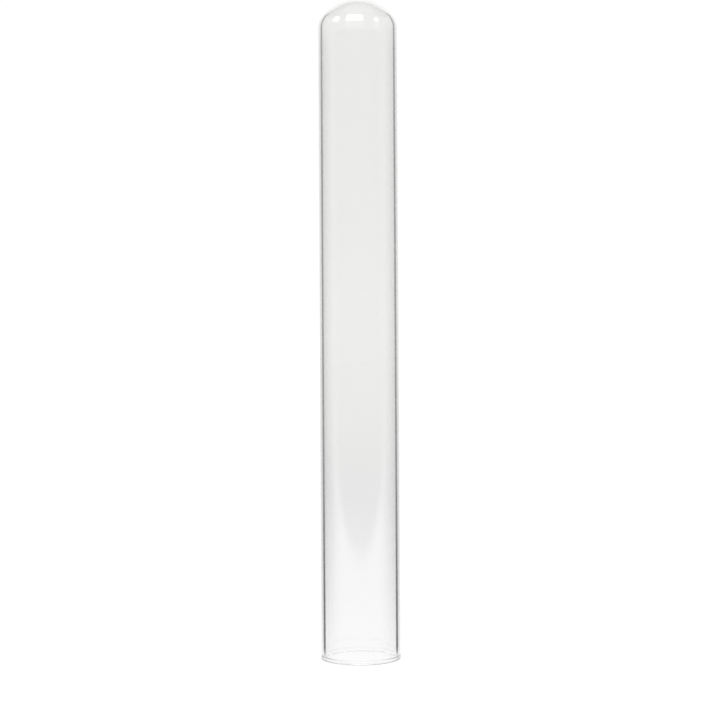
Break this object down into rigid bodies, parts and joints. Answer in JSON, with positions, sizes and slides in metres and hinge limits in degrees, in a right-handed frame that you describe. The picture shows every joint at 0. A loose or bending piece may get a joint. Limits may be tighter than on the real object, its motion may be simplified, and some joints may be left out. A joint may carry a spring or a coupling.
{
  "type": "test tube",
  "caption": "Plain clear glass test tube with a rounded closed end and an open, fire-polished mouth that has only a slight bead. It stands mouth down, and takes a stopper or rod in its mouth.",
  "frame": {"origin": "centre of the open mouth, in the plane that the lip rests on", "axes": "+Z along the tube's axis, from the open mouth up to the closed end. X and Y are interchangeable, because the tube is round"},
  "size_m": [0.0181, 0.0182, 0.15],
  "materials": {
    "clear_glass": "polished"
  },
  "bodies": {
    "root": {"glass_tube": "clear_glass"}
  },
  "joints": []
}
